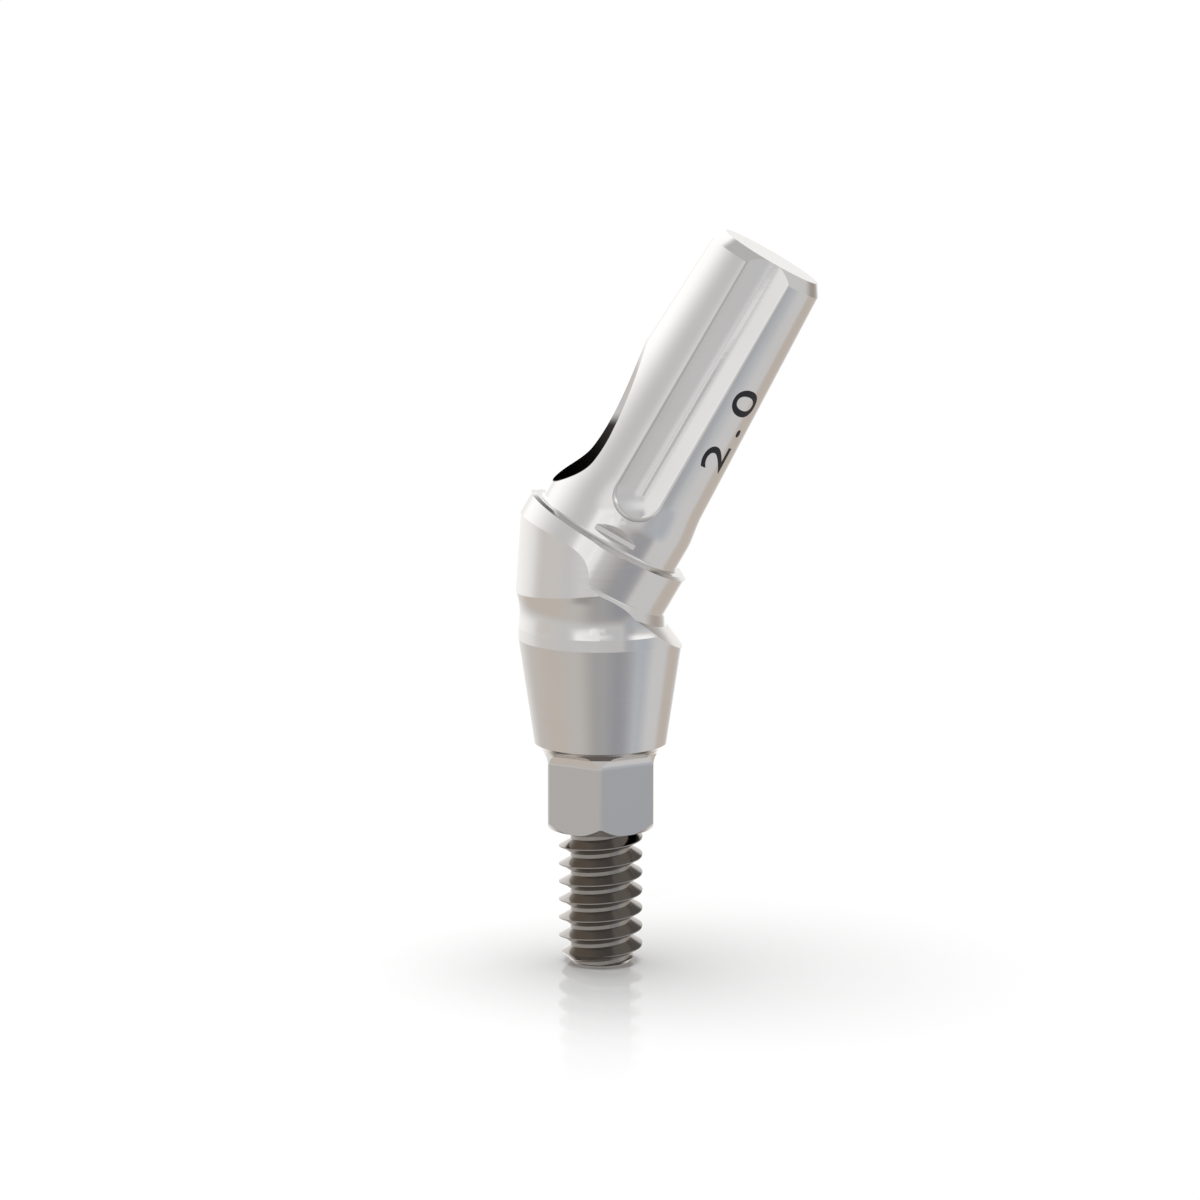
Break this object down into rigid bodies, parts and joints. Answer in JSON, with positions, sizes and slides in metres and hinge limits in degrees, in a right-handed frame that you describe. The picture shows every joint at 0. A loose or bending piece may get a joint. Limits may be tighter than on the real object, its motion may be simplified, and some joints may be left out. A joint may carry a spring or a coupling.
{
  "type": "dental abutment",
  "caption": "Angled two-piece dental abutment: tapered post on a leaning collar, conical hexagon connection and a separate retaining screw.",
  "frame": {"origin": "centre of the rim circle at the top of the implant cone, on the implant's axis", "axes": "+Z along the implant's axis towards the mouth, +X the way the post leans"},
  "size_m": [0.0057, 0.0034, 0.014],
  "materials": {
    "polished_titanium": "fine turned and polished titanium",
    "dark_titanium": "dark turned titanium alloy"
  },
  "bodies": {
    "body": {"abutment_body": "polished_titanium"},
    "screw": {"abutment_screw": "dark_titanium"}
  },
  "joints": [
    {"name": "screw_turn", "type": "hinge", "parent": "body", "child": "screw", "pos_m": [0, 0, 0], "axis": [0, 0, 1], "continuous": true}
  ]
}
